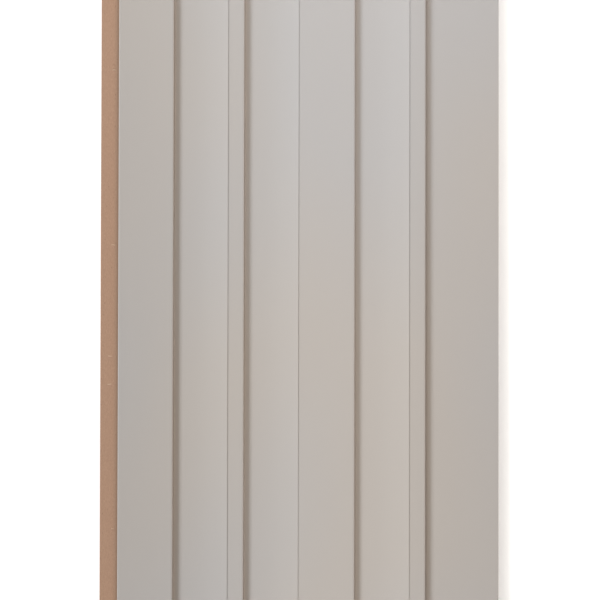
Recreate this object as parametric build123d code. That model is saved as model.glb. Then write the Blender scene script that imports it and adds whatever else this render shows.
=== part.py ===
from build123d import *
import os

# Decorative wall slat: one moulded board of painted MDF, lying face up.
# X runs across the slat, Y along it, and Z out of its face. The origin is the
# middle of the back. Flats and hollow coves take turns across the face: each
# flat ends in a sharp step down, and the cove after it rises again to the next
# flat, with a fine groove between the two. All sizes are in millimetres.

# Board
slat_length = 2700.0
board_thickness = 16.0

# Widths across the face
rebate_width = 14.1
first_flat_width = 43.4
wide_flat_width = 44.0
narrow_flat_width = 12.5
cove_width = 43.0
low_margin_width = 58.0

# Relief, measured down from the flats
rebate_depth = 3.0
step_depth = 5.0
step_draft = 0.3
groove_width = 0.8
groove_depth = 0.5

# Rounded edges
arris_radius = 1.0
foot_radius = 0.2

# The flats from left to right. A cove follows each one but the last, which is
# followed by the low margin. The rebate cuts a little into the first.
flat_widths = [first_flat_width, narrow_flat_width, wide_flat_width, narrow_flat_width]

slat_width = rebate_width + sum(flat_widths) + (len(flat_widths) - 1) * cove_width + low_margin_width
left_edge = -slat_width / 2
right_edge = slat_width / 2
face_left = left_edge + rebate_width
low_level = board_thickness - step_depth


def step_places():
    """The right-hand end of each flat, where the face steps down."""
    places = []
    x = face_left
    for flat_width in flat_widths:
        places.append(x + flat_width)
        x += flat_width + cove_width
    return places


def cove_hollow(step_x):
    """What the cove to the right of a step takes out of the board."""
    step_top = (step_x, board_thickness)
    step_foot = (step_x + step_draft, low_level)
    rise_end = (step_x + cove_width, board_thickness)
    with BuildSketch() as hollow:
        with BuildLine():
            Line(step_top, step_foot)
            TangentArc(step_foot, rise_end, tangent=(1, 0))
            Line(rise_end, step_top)
        make_face()
        fillet(hollow.vertices().sort_by(Axis.Y)[0], foot_radius)
    return hollow.sketch


def margin_hollow(step_x):
    """What the low margin takes out of the board, from the last step on."""
    step_foot = (step_x + step_draft, low_level)
    with BuildSketch() as hollow:
        with BuildLine():
            Polyline(
                (step_x, board_thickness),
                step_foot,
                (right_edge, low_level),
                (right_edge, board_thickness),
                close=True,
            )
        make_face()
        fillet(hollow.vertices().sort_by(Axis.X)[1], foot_radius)
    return hollow.sketch


def top_slot(middle_x, width, depth):
    """A square slot cut down into the face."""
    slot = Rectangle(width, depth, align=(Align.CENTER, Align.MAX))
    return Pos(middle_x, board_thickness) * slot


def slat_section():
    """The section across the slat, in x and height."""
    *cove_steps, margin_step = step_places()
    section = Rectangle(slat_width, board_thickness, align=(Align.CENTER, Align.MIN))
    section -= top_slot(left_edge + rebate_width / 2, rebate_width, rebate_depth)
    section -= margin_hollow(margin_step)
    for step_x in cove_steps:
        section -= cove_hollow(step_x)
        section -= top_slot(step_x + cove_width, groove_width, groove_depth)

    arris_places = [face_left, *cove_steps, margin_step]
    arrises = [
        vertex
        for vertex in section.vertices()
        if abs(vertex.Y - board_thickness) < 1e-6
        and any(abs(vertex.X - x) < 1e-6 for x in arris_places)
    ]
    return fillet(arrises, arris_radius)


def wall_slat():
    """The whole slat: its section drawn out along Y."""
    upright_section = Plane.XZ * slat_section()
    return extrude(upright_section, amount=slat_length / 2, both=True)


os.makedirs("parts", exist_ok=True)
slat = wall_slat()
export_step(slat, "parts/wall_slat.step")
print("wall_slat", slat.bounding_box(), "volume", round(slat.volume))
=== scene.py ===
import math
import random

import bpy
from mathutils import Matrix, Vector


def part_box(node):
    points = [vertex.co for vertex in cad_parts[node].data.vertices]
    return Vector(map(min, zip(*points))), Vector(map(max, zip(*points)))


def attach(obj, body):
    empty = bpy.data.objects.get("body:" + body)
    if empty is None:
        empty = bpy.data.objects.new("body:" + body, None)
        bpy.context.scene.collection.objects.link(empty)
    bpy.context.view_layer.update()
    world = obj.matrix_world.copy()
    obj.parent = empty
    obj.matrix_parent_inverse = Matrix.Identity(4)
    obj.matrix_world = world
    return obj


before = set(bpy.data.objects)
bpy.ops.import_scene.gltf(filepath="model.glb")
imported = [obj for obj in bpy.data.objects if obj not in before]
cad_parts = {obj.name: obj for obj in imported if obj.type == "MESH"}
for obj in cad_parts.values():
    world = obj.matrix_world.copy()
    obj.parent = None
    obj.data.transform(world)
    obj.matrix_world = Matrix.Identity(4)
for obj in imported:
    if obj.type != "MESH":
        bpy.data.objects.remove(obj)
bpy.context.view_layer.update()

mm = 0.001

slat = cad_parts["wall_slat"]
slatLow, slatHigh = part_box("wall_slat")
slatMiddle = (slatLow + slatHigh) / 2
faceTop = slatHigh.z
print("frame loaded, slat size in mm:", [round(side / mm, 1) for side in slatHigh - slatLow])

# Places that the finish follows, read off the slat itself: the left side of the
# face, the height of the rebate, and the foot of each step down from a flat.
edgeBand = 1 * mm           # nearer to an edge than this counts as on it
samePlace = 0.05 * mm       # places closer together than this count as one
stepSpacing = 5 * mm        # feet further apart than this belong to two steps
facing = 0.7                # a normal that leans this far along an axis faces that way
points =[vertex.co for vertex in slat.data.vertices]
rebateTop = max(p.z for p in points if p.x < slatLow.x + edgeBand)
faceLeft = min(p.x for p in points if p.z > rebateTop + edgeBand)
marginTop = max(p.z for p in points if p.x > slatHigh.x - edgeBand)
lowPoints = [p for p in points if abs(p.z - marginTop) < samePlace and p.x < slatHigh.x - edgeBand]
lowXs = sorted({round(p.x, 5) for p in lowPoints})
stepFeet = [x for i, x in enumerate(lowXs) if i == 0 or x - lowXs[i - 1] > stepSpacing]
print("rebate and margin heights in mm:", round(rebateTop / mm, 2), round(marginTop / mm, 2))
print("feet of the steps in mm:", [round(x / mm, 2) for x in stepFeet])


def toLinear(hexColour):
    # sRGB hex to the linear colour that the shader wants
    channels = [int(hexColour[i:i + 2], 16) / 255 for i in (0, 2, 4)]
    return tuple(c / 12.92 if c <= 0.04045 else ((c + 0.055) / 1.055) ** 2.4 for c in channels) + (1.0,)


def addNode(tree, kind, settings=None, links=None):
    # Settings go to the node's own fields or to its inputs. A link comes from a
    # socket, or from a node's first output.
    node = tree.nodes.new("ShaderNode" + kind)
    for name, value in (settings or {}).items():
        if isinstance(name, str) and hasattr(node, name):
            setattr(node, name, value)
        else:
            node.inputs[name].default_value = value
    for name, source in (links or {}).items():
        socket = source.outputs[0] if isinstance(source, bpy.types.Node) else source
        tree.links.new(socket, node.inputs[name])
    return node


def patternScale(size, stretch):
    # a Mapping scale that makes a pattern this many mm large, stretched by axis
    return tuple(1 / (size * mm * s) for s in stretch)


# Satin lacquer sprayed on a routed MDF board. The lacquer is greige, smooth and
# closed: no grain comes through, only a fine orange peel in the gloss, faint
# sanding lines along the slat and a slow drift of tint. By each step its colour carries
# painted shade on the edge above and on the wall, and painted light in the corner below.
lacquerFinish = {
    "coolColour": "B3AFAC",
    "warmColour": "B7AFA7",
    "roughness": 0.46,
    "dullRoughness": 0.52,
    "dullRange": (0.3, 0.7),            # of the drift, from satin to duller
    "driftSize": 220.0,                 # mm, slow change of the film's tint
    "driftStretch": (1.0, 1.5, 1.0),
    "driftShift": (-280.0, 296.0, 0.0),     # mm, where in the noise the slat's middle lies
    "driftRange": (0.35, 0.65),         # of the drift, from all cool to all warm
    "peelSize": 1.7,                    # mm between the peel's bumps
    "peelDepth": 0.012,
    "sandingSize": 0.9,                 # mm across a sanding line
    "sandingStretch": (1.0, 90.0, 1.0),
    "sandingDepth": 0.004,
    # painted shade colour for the edge above each step and for its wall
    "paintedShadeColour": "8A7D71",
    "edgeShadeReach": 2.6,                 # mm either side of a step's foot
    "edgeShadeShare": 0.27,                # of the painted shade colour on the edge above
    "wallRange": (0.55, 0.95),          # of the lean to the right, from no wall to all wall
    "wallShadeShare": 0.70,                  # of the painted shade colour on the wall
    "cornerLightColour": "CAB59F",           # painted light: a paler, warmer colour in the shadow by the foot
    "cornerLightReach": 6.0,                 # mm out from the foot
    "cornerLightShare": 0.28,
}

# Raw MDF: wood fibres pressed with resin, so a warm, even tan that breaks up
# close by into short pale fibres and dark flecks of bark. The core is paler and
# looser than the dense skins, and the saw leaves shallow arcs on the ends.
boardFinish = {
    "colour": "B28E75",
    "darkFibre": "A8846B",
    "paleFibre": "BD997F",
    "tonePlaces": (0.28, 0.5, 0.74),    # of the fibre pattern: dark, middle, pale
    "roughness": 0.88,
    "looseRoughness": 0.95,
    "fibreSize": 0.45,                  # mm across a fibre
    "fibreLength": 1.9,
    "fibreHeight": 0.225,
    "grainDepth": 0.04,
    "fleck": "7C5A43",
    "fleckSize": 1.3,
    "fleckStretch": (1.0, 2.2, 0.6),
    "fleckRange": (0.1, 0.34),          # of its size, where its fade starts and ends
    "fleckRarity": 0.955,               # share of the places for a fleck that stay empty
    "fleckShare": 0.5,
    "denseSkin": "8A694F",
    "looseCore": "C9A68C",
    "skinDepth": 2.4,                   # mm of dense board under each pressed face
    "skinShare": 0.75,
    "coreShare": 0.35,
    "sawRadius": 150.0,                 # mm, the saw that cut the ends
    "sawMarkSpacing": 1.5,
    "sawMarkDepth": 0.04,
    "sawMarkShare": 0.10,
    "beltRange": (0.4, 0.75),           # of the sanding noise, from no line to a whole one
    "beltDepth": 0.03,
    "beltShare": 0.5,                   # tone of the sanding belt's lines on the back
    "paintEdgeBelowTop": 1.5,           # mm of paint that wraps over the rebate's wall
    "paintEdgeWander": 0.5,
    "paintEdgeSize": 7.0,               # mm along the edge that one wander takes
    "creaseMistAndShadeColour": "8F7A66",           # painted shade along the foot of that wall, with some paint mist
    "creaseMistAndShadeReach": 4.6,
    "creaseMistAndShadeShare": 0.45,
    "overspray": 6.0,                   # mm of paint mist carried on to the back
    "mistShare": 0.9,
}


def readPlaces(tree, board):
    # where a point of the board is, and whether it is bare there
    place = addNode(tree, "TexCoord").outputs["Object"]
    x, _, z = addNode(tree, "SeparateXYZ", links={0: place}).outputs
    normal = addNode(tree, "NewGeometry").outputs["True Normal"]
    leanX, leanY, leanZ = addNode(tree, "SeparateXYZ", links={0: normal}).outputs
    endLean = addNode(tree, "Math", {"operation": "ABSOLUTE"}, {0: leanY})
    onEnd = addNode(tree, "Math", {"operation": "GREATER_THAN", 1: facing}, {0: endLean})
    onBack = addNode(tree, "Math", {"operation": "LESS_THAN", 1: -facing}, {0: leanZ})
    faceUp = addNode(tree, "Math", {"operation": "GREATER_THAN", 1: facing}, {0: leanZ})

    # the paint's edge wraps a little way down the rebate's wall, unevenly
    edgeNoise = addNode(tree, "TexNoise", {"Scale": 1 / (board["paintEdgeSize"] * mm), "Detail": 3.0},
                        {"Vector": place})
    edgeHeight = addNode(tree, "MapRange", {
        "To Min": faceTop - (board["paintEdgeBelowTop"] + board["paintEdgeWander"]) * mm,
        "To Max": faceTop - (board["paintEdgeBelowTop"] - board["paintEdgeWander"]) * mm,
    }, {"Value": edgeNoise})
    underPaint = addNode(tree, "Math", {"operation": "LESS_THAN"}, {0: z, 1: edgeHeight})
    leftOfFace = addNode(tree, "Math", {"operation": "LESS_THAN", 1: faceLeft + samePlace}, {0: x})
    onRebate = addNode(tree, "Math", {"operation": "MULTIPLY"}, {0: leftOfFace, 1: underPaint})
    endOrBack = addNode(tree, "Math", {"operation": "MAXIMUM"}, {0: onEnd, 1: onBack})
    bare = addNode(tree, "Math", {"operation": "MAXIMUM"}, {0: endOrBack, 1: onRebate})
    onRebateFloor = addNode(tree, "Math", {"operation": "MULTIPLY"}, {0: faceUp, 1: onRebate})
    return {
        "place": place, "x": x, "z": z, "leanX": leanX, "onEnd": onEnd, "onBack": onBack,
        "onRebateFloor": onRebateFloor, "bare": bare, "edgeNoise": edgeNoise,
    }


def addStepLightAndShade(tree, lacquer, where, film):
    # painted light and shade by each step: the corner below is painted paler and
    # warmer, and the edge above and the steep wall between are painted darker
    fromStep = None
    for footX in stepFeet:
        offset = addNode(tree, "Math", {"operation": "SUBTRACT", 1: footX}, {0: where["x"]})
        distance = addNode(tree, "Math", {"operation": "ABSOLUTE"}, {0: offset})
        if fromStep:
            distance = addNode(tree, "Math", {"operation": "MINIMUM"}, {0: fromStep, 1: distance})
        fromStep = distance

    # painted light: paler and warmer in the step's shadow near its foot
    nearCorner = addNode(tree, "MapRange", {
        "interpolation_type": "SMOOTHSTEP",
        "From Max": lacquer["cornerLightReach"] * mm, "To Min": 1.0, "To Max": 0.0,
    }, {"Value": fromStep})
    cornerLightByHeight = addNode(tree, "MapRange", {
        "From Min": marginTop, "From Max": faceTop, "To Min": lacquer["cornerLightShare"], "To Max": 0.0,
    }, {"Value": where["z"]})
    cornerLightShare = addNode(tree, "Math", {"operation": "MULTIPLY"}, {0: nearCorner, 1: cornerLightByHeight})
    film = addNode(tree, "Mix", {"data_type": "RGBA", 7: toLinear(lacquer["cornerLightColour"])},
                   {0: cornerLightShare, 6: film}).outputs[2]

    # painted shade: darker on the edge above each step and on its steep wall
    nearEdge = addNode(tree, "MapRange", {
        "interpolation_type": "SMOOTHSTEP",
        "From Max": lacquer["edgeShadeReach"] * mm, "To Min": 1.0, "To Max": 0.0,
    }, {"Value": fromStep})
    edgeShadeByHeight = addNode(tree, "MapRange", {
        "From Min": marginTop, "From Max": faceTop, "To Max": lacquer["edgeShadeShare"],
    }, {"Value": where["z"]})
    edgeShadeShare = addNode(tree, "Math", {"operation": "MULTIPLY"}, {0: nearEdge, 1: edgeShadeByHeight})
    wallStart, wallWhole = lacquer["wallRange"]
    steep = addNode(tree, "MapRange", {
        "From Min": wallStart, "From Max": wallWhole, "To Max": lacquer["wallShadeShare"],
    }, {"Value": where["leanX"]})
    insideFace = addNode(tree, "Math", {"operation": "LESS_THAN", 1: slatHigh.x - edgeBand}, {0: where["x"]})
    wallShadeShare = addNode(tree, "Math", {"operation": "MULTIPLY"}, {0: steep, 1: insideFace})
    paintedShadeShare = addNode(tree, "Math", {"operation": "MAXIMUM"}, {0: edgeShadeShare, 1: wallShadeShare})
    return addNode(tree, "Mix", {"data_type": "RGBA", 7: toLinear(lacquer["paintedShadeColour"])},
                   {0: paintedShadeShare, 6: film}).outputs[2]


def addLacquer(tree, lacquer, where, sanding):
    # the film's colour, roughness and height
    driftSizes = [lacquer["driftSize"] * stretch for stretch in lacquer["driftStretch"]]
    driftPlace = addNode(tree, "Mapping", {
        "Location": tuple(shift / size for shift, size in zip(lacquer["driftShift"], driftSizes)),
        "Scale": patternScale(lacquer["driftSize"], lacquer["driftStretch"]),
    }, {"Vector": where["place"]})
    drift = addNode(tree, "TexNoise", {"Scale": 1.0, "Detail": 1.0}, {"Vector": driftPlace})
    allCool, allWarm = lacquer["driftRange"]
    warmShare = addNode(tree, "MapRange", {"From Min": allCool, "From Max": allWarm}, {"Value": drift})
    film = addNode(tree, "Mix", {
        "data_type": "RGBA", 6: toLinear(lacquer["coolColour"]), 7: toLinear(lacquer["warmColour"]),
    }, {0: warmShare}).outputs[2]
    film = addStepLightAndShade(tree, lacquer, where, film)

    satin, dull = lacquer["dullRange"]
    roughness = addNode(tree, "MapRange", {
        "From Min": satin, "From Max": dull,
        "To Min": lacquer["roughness"], "To Max": lacquer["dullRoughness"],
    }, {"Value": drift})
    peel = addNode(tree, "TexNoise", {"Scale": 1 / (lacquer["peelSize"] * mm), "Detail": 1.0},
                   {"Vector": where["place"]})
    peelHeight = addNode(tree, "Math", {"operation": "MULTIPLY", 1: lacquer["peelDepth"] * mm}, {0: peel})
    height = addNode(tree, "Math", {"operation": "MULTIPLY_ADD", 1: lacquer["sandingDepth"] * mm},
                     {0: sanding, 2: peelHeight})
    return film, roughness, height


def addFibres(tree, board, where):
    # fibres lie flat, so they are long on the faces and dots on the ends
    fibrePlace = addNode(tree, "Mapping", {
        "Scale": tuple(1 / (board[side] * mm) for side in ("fibreSize", "fibreLength", "fibreHeight")),
    }, {"Vector": where["place"]})
    fibres = addNode(tree, "TexNoise", {"Scale": 1.0, "Detail": 5.0, "Roughness": 0.62, "Distortion": 0.6},
                     {"Vector": fibrePlace})
    fibreTone = addNode(tree, "ValToRGB", links={0: fibres})
    ramp = fibreTone.color_ramp
    darkPlace, middlePlace, palePlace = board["tonePlaces"]
    ramp.elements[0].position = darkPlace
    ramp.elements[0].color = toLinear(board["darkFibre"])
    ramp.elements[1].position = palePlace
    ramp.elements[1].color = toLinear(board["paleFibre"])
    ramp.elements.new(middlePlace).color = toLinear(board["colour"])

    fleckPlace = addNode(tree, "Mapping", {
        "Scale": patternScale(board["fleckSize"], board["fleckStretch"]),
    }, {"Vector": where["place"]})
    flecks = addNode(tree, "TexVoronoi", {"feature": "F1", "Scale": 1.0, "Randomness": 1.0},
                     {"Vector": fleckPlace})
    fleckTone = addNode(tree, "SeparateColor", links={0: flecks.outputs["Color"]})
    rare = addNode(tree, "Math", {"operation": "GREATER_THAN", 1: board["fleckRarity"]}, {0: fleckTone})
    fadeStart, fadeEnd = board["fleckRange"]
    spot = addNode(tree, "MapRange", {
        "From Min": fadeStart, "From Max": fadeEnd, "To Min": board["fleckShare"], "To Max": 0.0,
    }, {"Value": flecks.outputs["Distance"]})
    fleckShare = addNode(tree, "Math", {"operation": "MULTIPLY"}, {0: rare, 1: spot})
    wood = addNode(tree, "Mix", {"data_type": "RGBA", 7: toLinear(board["fleck"])},
                   {0: fleckShare, 6: fibreTone}).outputs[2]
    return fibres, wood


def addSawnEnds(tree, board, where, wood):
    # on the ends the dense skins are darker and the core paler, crossed by the saw's arcs
    depth = addNode(tree, "Math", {"operation": "PINGPONG", 1: faceTop / 2}, {0: where["z"]})
    skin = addNode(tree, "MapRange", {
        "interpolation_type": "SMOOTHSTEP", "From Max": board["skinDepth"] * mm,
        "To Min": board["skinShare"], "To Max": 0.0,
    }, {"Value": depth})
    core = addNode(tree, "MapRange", {
        "From Min": board["skinDepth"] * mm, "From Max": faceTop / 2, "To Max": board["coreShare"],
    }, {"Value": depth})
    sawPlace = addNode(tree, "Mapping", {
        "Location": (0.0, 0.0, board["sawRadius"] * mm), "Scale": (1.0, 0.0, 1.0),
    }, {"Vector": where["place"]})
    sawRadius = addNode(tree, "VectorMath", {"operation": "LENGTH"}, {0: sawPlace}).outputs["Value"]
    radiansPerMetre = 2 * math.pi / (board["sawMarkSpacing"] * mm)
    sawAngle = addNode(tree, "Math", {"operation": "MULTIPLY", 1: radiansPerMetre}, {0: sawRadius})
    sawWave = addNode(tree, "Math", {"operation": "SINE"}, {0: sawAngle})
    sawOnEnd = addNode(tree, "Math", {"operation": "MULTIPLY"}, {0: sawWave, 1: where["onEnd"]})

    skinShare = addNode(tree, "Math", {"operation": "MULTIPLY"}, {0: skin, 1: where["onEnd"]})
    coreShare = addNode(tree, "Math", {"operation": "MULTIPLY"}, {0: core, 1: where["onEnd"]})
    sawShare = addNode(tree, "Math", {"operation": "MULTIPLY", 1: board["sawMarkShare"]}, {0: sawOnEnd})
    for share, colour in ((coreShare, "looseCore"), (skinShare, "denseSkin"), (sawShare, "denseSkin")):
        wood = addNode(tree, "Mix", {"data_type": "RGBA", 7: toLinear(board[colour])},
                       {0: share, 6: wood}).outputs[2]
    return sawOnEnd, wood


def addBoard(tree, board, where, sanding, film):
    # the bare board's colour, roughness and height
    fibres, wood = addFibres(tree, board, where)
    sawOnEnd, wood = addSawnEnds(tree, board, where, wood)
    grainHeight = addNode(tree, "Math", {"operation": "MULTIPLY", 1: board["grainDepth"] * mm}, {0: fibres})
    height = addNode(tree, "Math", {"operation": "MULTIPLY_ADD", 1: board["sawMarkDepth"] * mm},
                     {0: sawOnEnd, 2: grainHeight})
    roughness = addNode(tree, "MapRange", {
        "To Min": board["roughness"], "To Max": board["looseRoughness"],
    }, {"Value": fibres})

    # on the back, the sanding belt's lines run along the slat
    beltStart, beltWhole = board["beltRange"]
    beltLines = addNode(tree, "MapRange", {"From Min": beltStart, "From Max": beltWhole}, {"Value": sanding})
    beltOnBack = addNode(tree, "Math", {"operation": "MULTIPLY"}, {0: beltLines, 1: where["onBack"]})
    beltShare = addNode(tree, "Math", {"operation": "MULTIPLY", 1: board["beltShare"]}, {0: beltOnBack})
    wood = addNode(tree, "Mix", {"data_type": "RGBA", 7: toLinear(board["denseSkin"])},
                   {0: beltShare, 6: wood}).outputs[2]
    height = addNode(tree, "Math", {"operation": "MULTIPLY_ADD", 1: -board["beltDepth"] * mm},
                     {0: beltOnBack, 2: height})

    # painted shade on the rebate's floor along the foot of its wall, with some paint mist
    fromWall = addNode(tree, "Math", {"operation": "SUBTRACT", 0: faceLeft}, {1: where["x"]})
    crease = addNode(tree, "MapRange", {
        "interpolation_type": "SMOOTHSTEP", "From Max": board["creaseMistAndShadeReach"] * mm,
        "To Min": board["creaseMistAndShadeShare"], "To Max": 0.0,
    }, {"Value": fromWall})
    creaseMistAndShadeShare = addNode(tree, "Math", {"operation": "MULTIPLY"}, {0: crease, 1: where["onRebateFloor"]})
    wood = addNode(tree, "Mix", {"data_type": "RGBA", 7: toLinear(board["creaseMistAndShadeColour"])},
                   {0: creaseMistAndShadeShare, 6: wood}).outputs[2]

    # paint mist on the back, heaviest along its two long edges
    fromMiddle = addNode(tree, "Math", {"operation": "ABSOLUTE"}, {0: where["x"]})
    mistEdge = addNode(tree, "MapRange", {
        "interpolation_type": "SMOOTHSTEP", "To Max": board["mistShare"],
        "From Min": slatHigh.x - board["overspray"] * mm, "From Max": slatHigh.x,
    }, {"Value": fromMiddle})
    mistOnBack = addNode(tree, "Math", {"operation": "MULTIPLY"}, {0: mistEdge, 1: where["onBack"]})
    mist = addNode(tree, "Math", {"operation": "MULTIPLY"}, {0: mistOnBack, 1: where["edgeNoise"]})
    wood = addNode(tree, "Mix", {"data_type": "RGBA"}, {0: mist, 6: wood, 7: film}).outputs[2]
    return wood, roughness, height


def makeSlatFinish(name, lacquer, board):
    mat = bpy.data.materials.new(name)
    mat.use_nodes = True
    tree = mat.node_tree
    tree.nodes.clear()
    where = readPlaces(tree, board)
    sandingPlace = addNode(tree, "Mapping", {
        "Scale": patternScale(lacquer["sandingSize"], lacquer["sandingStretch"]),
    }, {"Vector": where["place"]})
    sanding = addNode(tree, "TexNoise", {"Scale": 1.0, "Detail": 2.0}, {"Vector": sandingPlace})
    film, filmRoughness, filmHeight = addLacquer(tree, lacquer, where, sanding)
    wood, boardRoughness, boardHeight = addBoard(tree, board, where, sanding, film)

    bare = where["bare"]
    colour = addNode(tree, "Mix", {"data_type": "RGBA"}, {0: bare, 6: film, 7: wood}).outputs[2]
    roughness = addNode(tree, "Mix", links={0: bare, 2: filmRoughness, 3: boardRoughness})
    height = addNode(tree, "Mix", links={0: bare, 2: filmHeight, 3: boardHeight})
    bump = addNode(tree, "Bump", {"Strength": 1.0, "Distance": 1.0}, {"Height": height})
    shader = addNode(tree, "BsdfPrincipled", {"IOR": 1.5},
                     {"Base Color": colour, "Roughness": roughness, "Normal": bump})
    addNode(tree, "OutputMaterial", links={"Surface": shader})
    return mat


slatMaterial = makeSlatFinish("satinLacquerOnMdf", lacquerFinish, boardFinish)
for materialSlot in slat.material_slots:
    materialSlot.material = slatMaterial
print("slat finished")


# Torn fibres that the cutter lifted out of the rebate's floor. They are part of
# the board, pale where they are freshly torn, and lie across the slat. Those near
# the middle are where the photograph shows them, and the rest are scattered alike.
fibreSettings = {
    "length": 3.2,              # mm
    "width": 0.75,
    "height": 0.38,
    "sides": 10,
    "sunk": 0.03,               # mm of each one that is rooted in the board
    "cutAt": 0.2,               # of its length, either side of its middle
    "tipFrom": 0.45,            # of its length, where what is thinned and bent starts
    "taper": 0.35,
    "tipShift": 0.12,           # mm that its ends are bent aside, one each way
    "tipLifts": {-1: 0.05, 1: 0.16},    # mm, left end and right end
    "seen": [                   # mm left of the face, mm along the slat, size
        (4.2, 181.0, 1.0), (4.2, 43.0, 1.0), (6.6, -44.5, 1.2), (6.6, -66.5, 1.2), (4.2, -180.0, 0.7),
    ],
    "seenReach": 240.0,         # mm each way along the slat that the photograph shows
    "others": 34,
    "othersFromFace": (3.0, 11.0),
    "othersFromEnd": 20.0,
    "otherSizes": (0.6, 1.4),
    "heightShares": (0.8, 1.1),
    "turn": 7.0,                # degrees either way
    "turnedRound": 3,           # one in this many points the other way
    "smoothAngle": 40.0,
    "seed": 5,
    "colour": "D3B59B",
    "rootColour": "B99479",
    "roughness": 0.9,
    "strandSize": 0.2,          # mm across a strand in its grain
    "strandStretch": (8.0, 1.0, 1.0),
    "strandRange": (0.25, 0.5),         # of the grain, from all brown to all pale
    "strandDepth": 0.03,
}


def makeFibreFinish(name, s):
    # torn wood fibre: matt and pale, streaked browner along its grain
    mat = bpy.data.materials.new(name)
    mat.use_nodes = True
    tree = mat.node_tree
    tree.nodes.clear()
    place = addNode(tree, "TexCoord").outputs["Object"]
    strands = addNode(tree, "Mapping", {"Scale": patternScale(s["strandSize"], s["strandStretch"])},
                      {"Vector": place})
    grain = addNode(tree, "TexNoise", {"Scale": 1.0, "Detail": 2.0}, {"Vector": strands})
    brown, pale = s["strandRange"]
    paleShare = addNode(tree, "MapRange", {"From Min": brown, "From Max": pale}, {"Value": grain})
    colour = addNode(tree, "Mix", {
        "data_type": "RGBA", 6: toLinear(s["rootColour"]), 7: toLinear(s["colour"]),
    }, {0: paleShare}).outputs[2]
    bump = addNode(tree, "Bump", {"Strength": 1.0, "Distance": s["strandDepth"] * mm}, {"Height": grain})
    shader = addNode(tree, "BsdfPrincipled", {"Roughness": s["roughness"], "IOR": 1.45},
                     {"Base Color": colour, "Normal": bump})
    addNode(tree, "OutputMaterial", links={"Surface": shader})
    return mat


def makeFirstFibre(s):
    # one fibre at the origin, its root at z = 0: a rod, thinned and lifted at its ends
    endX = s["length"] / 2 * mm
    cutX = s["length"] * s["cutAt"] * mm
    tipX = s["length"] * s["tipFrom"] * mm
    bpy.ops.object.select_all(action="DESELECT")
    bpy.ops.mesh.primitive_cylinder_add(vertices=s["sides"], radius=s["width"] / 2 * mm,
                                        depth=s["length"] * mm, rotation=(0.0, math.pi / 2, 0.0))
    fibre = bpy.context.object
    bpy.ops.object.transform_apply(location=True, rotation=True, scale=True)
    bpy.ops.object.mode_set(mode="EDIT")
    for x in (-cutX, cutX):
        bpy.ops.mesh.select_all(action="SELECT")
        bpy.ops.mesh.bisect(plane_co=(x, 0, 0), plane_no=(1, 0, 0))
    for side, lift in s["tipLifts"].items():
        bpy.ops.mesh.select_all(action="DESELECT")
        bpy.ops.object.mode_set(mode="OBJECT")
        for vertex in fibre.data.vertices:
            vertex.select = vertex.co.x * side > tipX
        bpy.ops.object.mode_set(mode="EDIT")
        bpy.ops.transform.resize(value=(1.0, s["taper"], s["taper"]), center_override=(side * endX, 0.0, 0.0))
        bpy.ops.transform.translate(value=(0.0, side * s["tipShift"] * mm, lift * mm))
    bpy.ops.mesh.select_all(action="SELECT")
    bpy.ops.transform.resize(value=(1.0, 1.0, 2 * s["height"] / s["width"]), center_override=(0.0, 0.0, 0.0))
    bpy.ops.mesh.bisect(plane_co=(0, 0, -s["sunk"] * mm), plane_no=(0, 0, 1),
                        use_fill=True, clear_inner=True)
    bpy.ops.mesh.select_all(action="SELECT")
    bpy.ops.mesh.normals_make_consistent(inside=False)
    bpy.ops.object.mode_set(mode="OBJECT")
    return fibre


draw = random.Random(fibreSettings["seed"])
fibrePlaces = list(fibreSettings["seen"])
reachY = slatHigh.y / mm - fibreSettings["othersFromEnd"]
while len(fibrePlaces) < len(fibreSettings["seen"]) + fibreSettings["others"]:
    alongSlat = draw.uniform(-reachY, reachY)
    if abs(alongSlat) > fibreSettings["seenReach"]:
        fromFace = draw.uniform(*fibreSettings["othersFromFace"])
        fibrePlaces.append((fromFace, alongSlat, draw.uniform(*fibreSettings["otherSizes"])))

firstFibre = makeFirstFibre(fibreSettings)
copies = []
for i, (fromFace, alongSlat, size) in enumerate(fibrePlaces):
    copy = firstFibre.copy()
    copy.data = firstFibre.data.copy()
    bpy.context.scene.collection.objects.link(copy)
    copy.location = (faceLeft - fromFace * mm, slatMiddle.y + alongSlat * mm, rebateTop)
    turn = math.radians(draw.uniform(-fibreSettings["turn"], fibreSettings["turn"]))
    if i % fibreSettings["turnedRound"] == 0:
        turn += math.pi
    copy.rotation_euler = (0.0, 0.0, turn)
    copy.scale = (size, 1.0, draw.uniform(*fibreSettings["heightShares"]))
    copies.append(copy)
bpy.data.objects.remove(firstFibre, do_unlink=True)
bpy.ops.object.select_all(action="DESELECT")
for copy in copies:
    copy.select_set(True)
bpy.context.view_layer.objects.active = copies[0]
bpy.ops.object.join()
bpy.ops.object.transform_apply(location=True, rotation=True, scale=True)
bpy.ops.object.shade_smooth_by_angle(angle=math.radians(fibreSettings["smoothAngle"]))
rebateFibres = bpy.context.object
rebateFibres.name = "rebate_fibres"
rebateFibres.data.name = "rebate_fibres"
rebateFibres.data.materials.clear()
rebateFibres.data.materials.append(makeFibreFinish("tornMdfFibre", fibreSettings))
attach(rebateFibres, "root")
print("torn fibres placed:", len(copies))


# floor: a plain white sheet, lit a little from below as on a light table, with a
# far screen of the same paper all round it, so that low views don't look past it
floorSettings = {
    "size": 200.0,              # metres
    "screenRadius": 85.0,
    "screenHeight": 18.0,
    "screenSides": 96,
    "colour": "F8F7F5",
    "roughness": 0.8,
    "glow": 0.4,
}

paper = bpy.data.materials.new("whitePaper")
paper.use_nodes = True
paperInputs = paper.node_tree.nodes["Principled BSDF"].inputs
paperInputs["Base Color"].default_value = toLinear(floorSettings["colour"])
paperInputs["Roughness"].default_value = floorSettings["roughness"]
paperInputs["Emission Color"].default_value = toLinear(floorSettings["colour"])
paperInputs["Emission Strength"].default_value = floorSettings["glow"]

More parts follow.
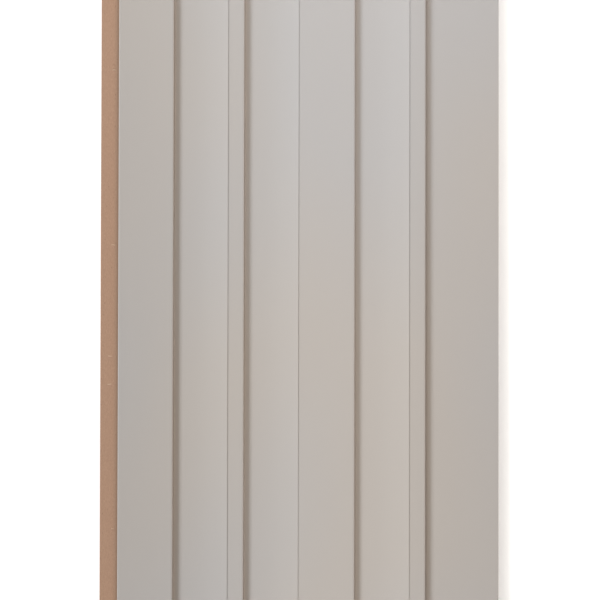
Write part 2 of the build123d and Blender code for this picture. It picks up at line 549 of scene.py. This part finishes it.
bpy.ops.object.select_all(action="DESELECT")
bpy.ops.mesh.primitive_plane_add(size=floorSettings["size"])
floor = bpy.context.object
floor.name = "floor"
bpy.ops.object.select_all(action="DESELECT")
bpy.ops.mesh.primitive_cylinder_add(vertices=floorSettings["screenSides"],
                                    radius=floorSettings["screenRadius"],
                                    depth=floorSettings["screenHeight"], end_fill_type="NOTHING",
                                    location=(0.0, 0.0, floorSettings["screenHeight"] / 2))
screen = bpy.context.object
screen.name = "screen"
for sheet in (floor, screen):
    sheet.data.materials.append(paper)
print("floor laid")


# Light: a wide soft key low from the left, as from a window, a long soft box
# close above the middle of the face, a long warm lamp along the right side and a
# cooler one over the far end. They follow how the photograph's bands brighten.
lightSettings = {
    "keyLightTilt": 50.0,       # degrees from straight above, towards the left
    "keyLightTurn": 12.0,       # degrees towards the slat's far end
    "keyLightSize": 24.0,       # how wide the source looks, in degrees
    "keyLightPlace": (-2.0, 0.5, 2.0),      # metres, though only its turn matters
    "keyLightStrength": 2.33,   # watts per square metre
    "keyLightColour": (0.902, 0.948, 1.0),
    "softBoxPlace": (0.018, 0.0, 0.25),     # metres
    "softBoxSize": (0.10, 2.4),
    "softBoxStrength": 0.955,   # watts
    "softBoxColour": (1.0, 0.939, 0.862),
    "sideLightPlace": (0.9, 0.5, 0.6),
    "sideLightSize": (2.4, 0.5),
    "sideLightStrength": 5.7,
    "sideLightColour": (1.0, 0.854, 0.763),
    "endLightPlace": (0.0, 0.9, 0.6),
    "endLightSize": (0.8, 0.5),
    "endLightStrength": 2.376,
    "endLightColour": (0.855, 0.929, 1.0),
    "roomStrength": 0.15,
    "roomColour": (1.0, 1.0, 1.0),
}
aim = Vector((0.0, 0.0, faceTop))


def addLamp(name, kind, s):
    # a lamp with its strength, colour and place from the settings
    light = bpy.data.lights.new(name, kind)
    light.energy = s[name + "Strength"]
    light.color = s[name + "Colour"]
    if kind == "AREA":
        light.shape = "RECTANGLE"
        light.size, light.size_y = s[name + "Size"]
    else:
        light.angle = math.radians(s[name + "Size"])
    lamp = bpy.data.objects.new(name, light)
    lamp.location = s[name + "Place"]
    lamp.visible_camera = False
    bpy.context.scene.collection.objects.link(lamp)
    return lamp


keyLight = addLamp("keyLight", "SUN", lightSettings)
keyTilt = math.radians(lightSettings["keyLightTilt"])
keyTurn = math.radians(lightSettings["keyLightTurn"])
keyLight.rotation_euler = (0.0, -keyTilt, -keyTurn)
addLamp("softBox", "AREA", lightSettings)
for name in ("sideLight", "endLight"):
    lamp = addLamp(name, "AREA", lightSettings)
    lamp.rotation_euler = (aim - lamp.location).to_track_quat("-Z", "Y").to_euler()

room = bpy.data.worlds.new("room")
room.use_nodes = True
roomInputs = room.node_tree.nodes["Background"].inputs
roomInputs["Color"].default_value = lightSettings["roomColour"] + (1.0,)
roomInputs["Strength"].default_value = lightSettings["roomStrength"]
bpy.context.scene.world = room
bpy.context.scene.view_settings.view_transform = "Standard"
print("light set")


# camera: straight above the face, as the photograph is taken square on to it
cameraSettings = {
    "frameWidth": 470.5,        # mm of the face across the whole picture
    "distance": 900.0,          # mm above the face
    "sensor": 36.0,
    "pitch": 0.57,              # degrees, the near end of the view is a little larger
    "roll": 0.117,
    "aimX": 0.15,               # mm from the slat's middle
}

cameraData = bpy.data.cameras.new("camera")
cameraData.sensor_width = cameraSettings["sensor"]
cameraData.lens = cameraSettings["sensor"] * cameraSettings["distance"] / cameraSettings["frameWidth"]
camera = bpy.data.objects.new("camera", cameraData)
pitch = math.radians(cameraSettings["pitch"])
camera.rotation_euler = (pitch, 0.0, math.radians(cameraSettings["roll"]))
camera.location = (
    slatMiddle.x + cameraSettings["aimX"] * mm,
    slatMiddle.y - cameraSettings["distance"] * mm * math.tan(pitch),
    faceTop + cameraSettings["distance"] * mm,
)
bpy.context.scene.collection.objects.link(camera)
bpy.context.scene.camera = camera
print("camera set")
